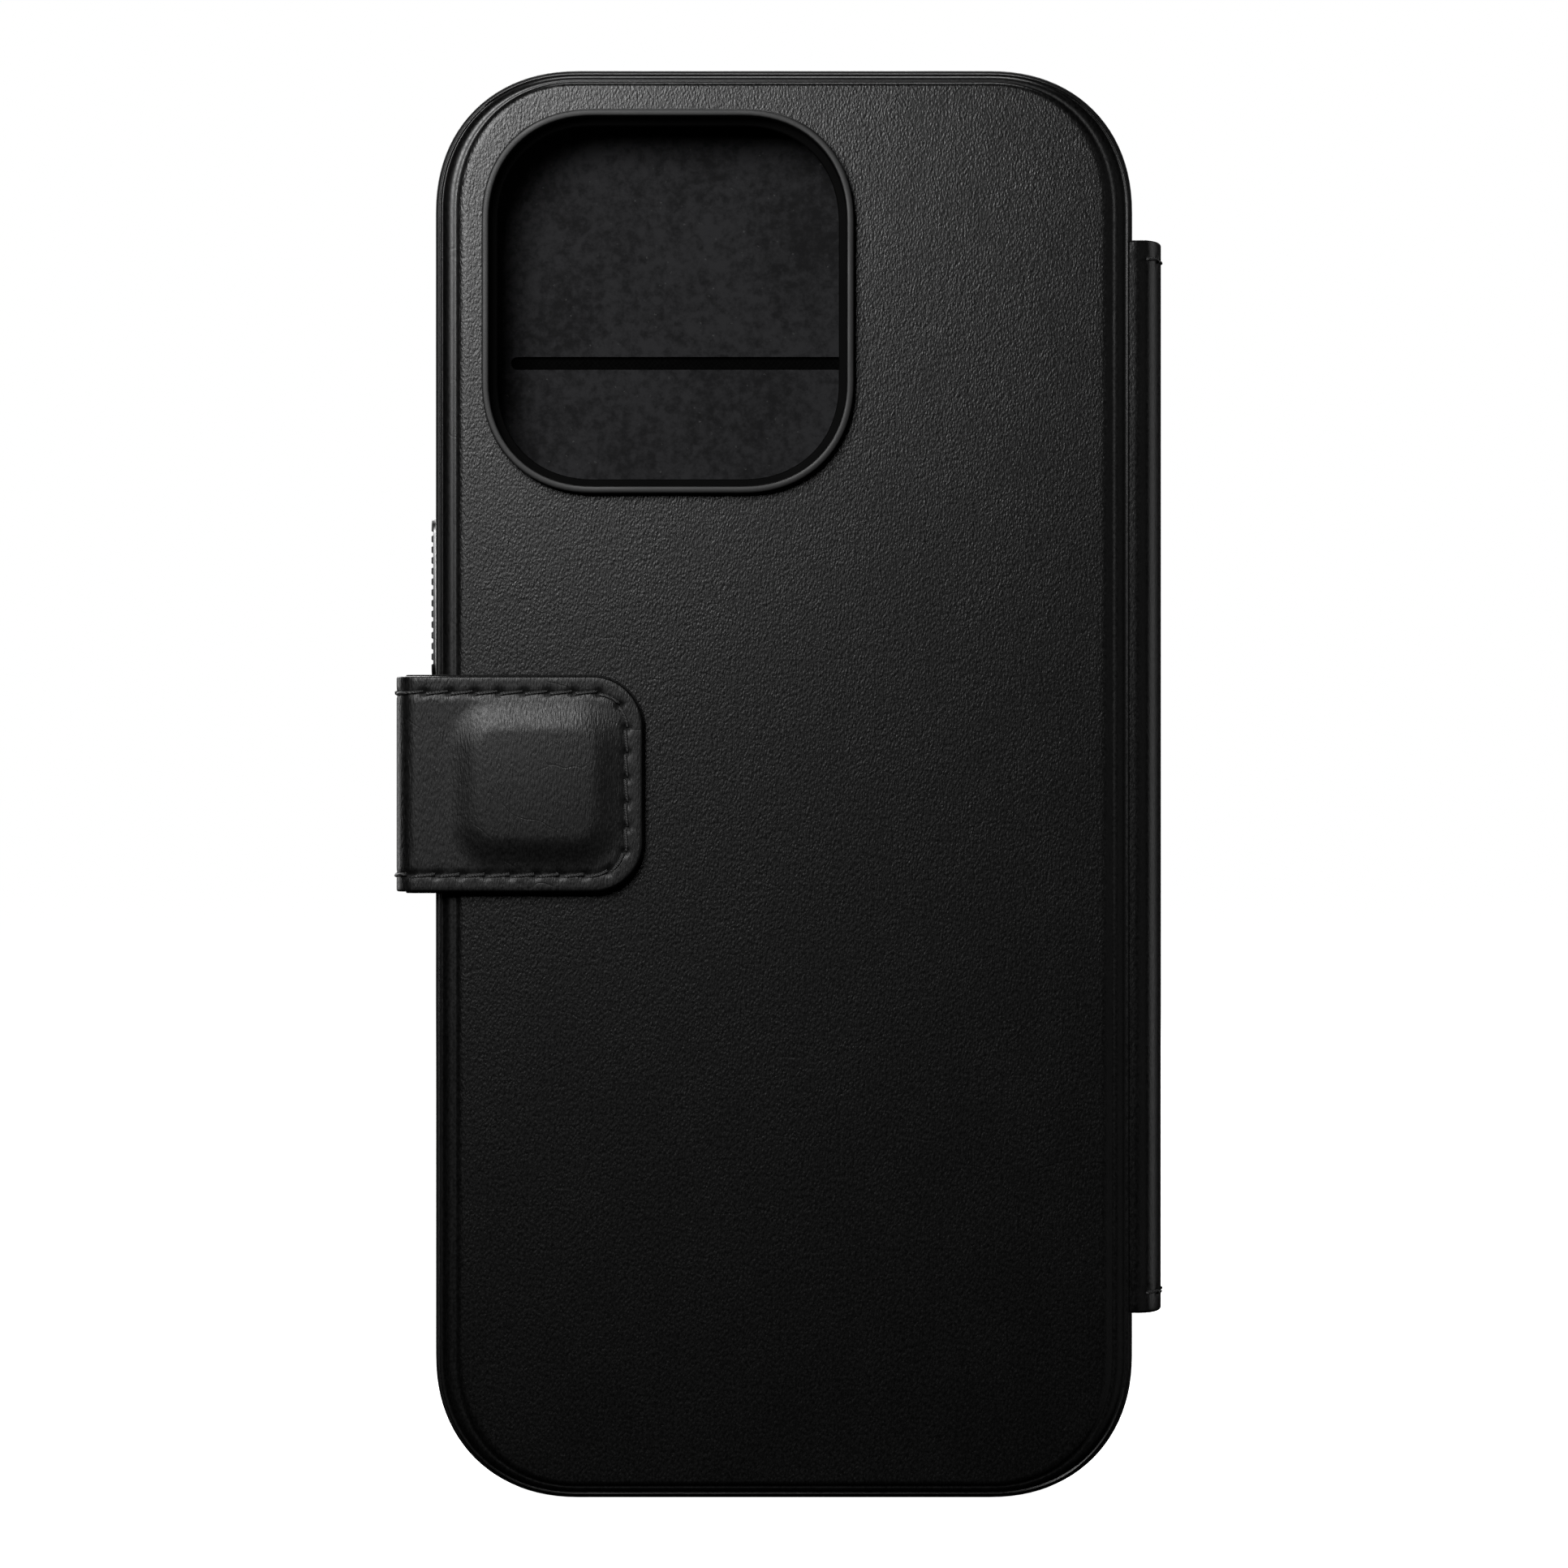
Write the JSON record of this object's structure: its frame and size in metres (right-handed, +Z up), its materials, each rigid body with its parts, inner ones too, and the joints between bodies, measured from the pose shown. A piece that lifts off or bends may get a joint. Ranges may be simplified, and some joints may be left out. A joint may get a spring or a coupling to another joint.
{
  "type": "phone wallet case",
  "caption": "Folio phone case with a leather-covered shell, a raised camera ring, a rolled spine, a front cover with card slots inside, and a magnetic strap that wraps the open edge.",
  "frame": {"origin": "middle of the case's short bottom edge, in the plane the back of the phone rests on", "axes": "+Z up along the case's length, -Y out of the leather back, +X towards the spine"},
  "size_m": [0.0824, 0.0195, 0.1526],
  "materials": {
    "black_leather": "fine pebbled grain, soft sheen",
    "bumper_rubber": "satin black soft plastic",
    "plate_plastic": "matt hard plastic",
    "ring_metal": "satin dark grey",
    "button_metal": "dark anodised, knurled",
    "microfibre": "short charcoal nap",
    "lining_fabric": "fine dark cloth",
    "thread": "waxed thread",
    "board": "grey board",
    "padding": "soft foam",
    "latch_steel": "brushed",
    "magnet_metal": "nickel plated"
  },
  "bodies": {
    "shell": {"back_plate": "plate_plastic", "bumper_rim": "bumper_rubber", "back_leather": "black_leather", "camera_ring": "ring_metal", "tray_lining": "microfibre", "latch_plate": "latch_steel", "spine_root": "black_leather"},
    "side_button": {"side_button": "button_metal", "side_button_pad": "bumper_rubber"},
    "volume_up_button": {"volume_up_button": "button_metal", "volume_up_pad": "bumper_rubber"},
    "volume_down_button": {"volume_down_button": "button_metal", "volume_down_pad": "bumper_rubber"},
    "action_button": {"action_button": "button_metal", "action_button_pad": "bumper_rubber"},
    "spine": {"spine_leather": "black_leather", "spine_lining": "lining_fabric", "spine_thread": "thread"},
    "cover": {"cover_leather": "black_leather", "cover_board": "board", "cover_lining": "microfibre", "card_pocket_upper": "lining_fabric", "card_pocket_middle": "lining_fabric", "card_pocket_lower": "lining_fabric", "cover_thread": "thread", "strap_root": "black_leather"},
    "strap_side": {"strap_side_leather": "black_leather", "strap_side_lining": "lining_fabric", "strap_side_thread": "thread"},
    "strap_end": {"strap_tab_leather": "black_leather", "strap_tab_lining": "lining_fabric", "strap_tab_thread": "thread", "strap_padding": "padding", "strap_magnet": "magnet_metal"}
  },
  "joints": [
    {"name": "spine_fold", "type": "hinge", "parent": "shell", "child": "spine", "pos_m": [0.03835, -0.0015, 0.0771], "axis": [0, 0, -1], "range_deg": [0, 180]},
    {"name": "cover_fold", "type": "hinge", "parent": "spine", "child": "cover", "pos_m": [0.03835, 0.0129, 0.0771], "axis": [0, 0, -1], "range_deg": [0, 180]},
    {"name": "strap_root_fold", "type": "hinge", "parent": "cover", "child": "strap_side", "pos_m": [-0.0405, 0.012, 0.0763], "axis": [0, 0, -1], "range_deg": [0, 150]},
    {"name": "strap_end_fold", "type": "hinge", "parent": "strap_side", "child": "strap_end", "pos_m": [-0.0405, -0.0035, 0.0763], "axis": [0, 0, -1], "range_deg": [0, 95]},
    {"name": "side_button_press", "type": "slide", "parent": "shell", "child": "side_button", "axis": [1, 0, 0], "range_m": [0, 0.0004], "stiffness_N_per_m": 2000},
    {"name": "volume_up_button_press", "type": "slide", "parent": "shell", "child": "volume_up_button", "axis": [-1, 0, 0], "range_m": [0, 0.0004], "stiffness_N_per_m": 2000},
    {"name": "volume_down_button_press", "type": "slide", "parent": "shell", "child": "volume_down_button", "axis": [-1, 0, 0], "range_m": [0, 0.0004], "stiffness_N_per_m": 2000},
    {"name": "action_button_press", "type": "slide", "parent": "shell", "child": "action_button", "axis": [-1, 0, 0], "range_m": [0, 0.0004], "stiffness_N_per_m": 2000}
  ]
}
